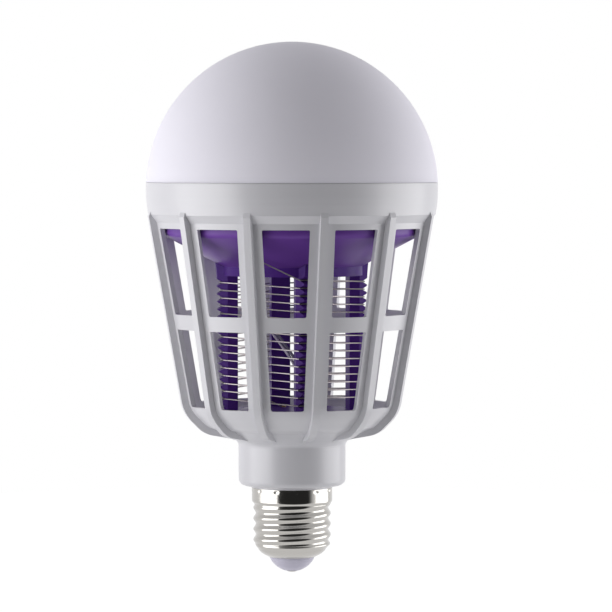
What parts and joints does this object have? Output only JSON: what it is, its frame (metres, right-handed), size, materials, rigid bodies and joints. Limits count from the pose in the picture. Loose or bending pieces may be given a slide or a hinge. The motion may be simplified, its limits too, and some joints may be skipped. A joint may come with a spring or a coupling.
{
  "type": "insect killer light bulb",
  "caption": "Light bulb that kills insects: frosted lamp dome over a ribbed white cage, with a wire-wound high-voltage grid on a violet frame inside, on a screw base.",
  "frame": {"origin": "on the bulb's axis, at the tip of the centre contact", "axes": "+Z along the axis from the screw base up to the dome, -Y towards the viewer, +X to the viewer's right"},
  "size_m": [0.099, 0.099, 0.1799],
  "materials": {
    "frosted_dome": "frosted, satin",
    "white_housing": "satin, fine moulded grain",
    "violet_tray": "satin",
    "violet_frame": "satin",
    "grid_wire": "drawn wire",
    "lamp_plate": "pressed sheet",
    "white_board": "white solder mask",
    "white_emitter": "phosphor",
    "violet_emitter": "clear lens",
    "screw_steel": "zinc plated",
    "terminal_brass": "bright",
    "red_insulation": "smooth",
    "black_insulation": "smooth",
    "white_insulation": "smooth",
    "grey_insulation": "smooth",
    "blue_insulation": "smooth",
    "green_board": "green solder mask",
    "ferrite": "matte",
    "winding_tape": "polyester tape",
    "capacitor_can": "sleeved",
    "film_case": "dipped",
    "black_epoxy": "moulded",
    "resistor_body": "lacquered",
    "cap_metal": "nickel plated",
    "cap_insulator": "vitreous",
    "contact_metal": "tinned"
  },
  "bodies": {
    "root": {"diffuser_dome": "frosted_dome", "cage_housing": "white_housing", "cage_bowl": "white_housing", "lamp_tray": "violet_tray", "grid_frame": "violet_frame", "grid_wire_live": "grid_wire", "grid_wire_return": "grid_wire", "led_plate": "lamp_plate", "led_board": "white_board", "white_leds": "white_emitter", "led_board_screws": "screw_steel", "tray_screws": "screw_steel", "hub_screws": "screw_steel", "frame_screws": "screw_steel", "uv_board": "white_board", "uv_leds": "violet_emitter", "wire_terminals": "terminal_brass", "hv_lead_live": "red_insulation", "hv_lead_return": "black_insulation", "lamp_lead_positive": "white_insulation", "lamp_lead_negative": "grey_insulation", "driver_board": "green_board", "transformer_core": "ferrite", "transformer_winding": "winding_tape", "bulk_capacitor": "capacitor_can", "film_capacitors": "film_case", "rectifier_diodes": "black_epoxy", "hv_resistors": "resistor_body", "controller_chip": "black_epoxy", "fusible_resistor": "resistor_body", "screw_shell": "cap_metal", "shell_insulator": "cap_insulator", "contact_button": "contact_metal", "live_lead": "red_insulation", "neutral_lead": "blue_insulation"}
  },
  "joints": []
}
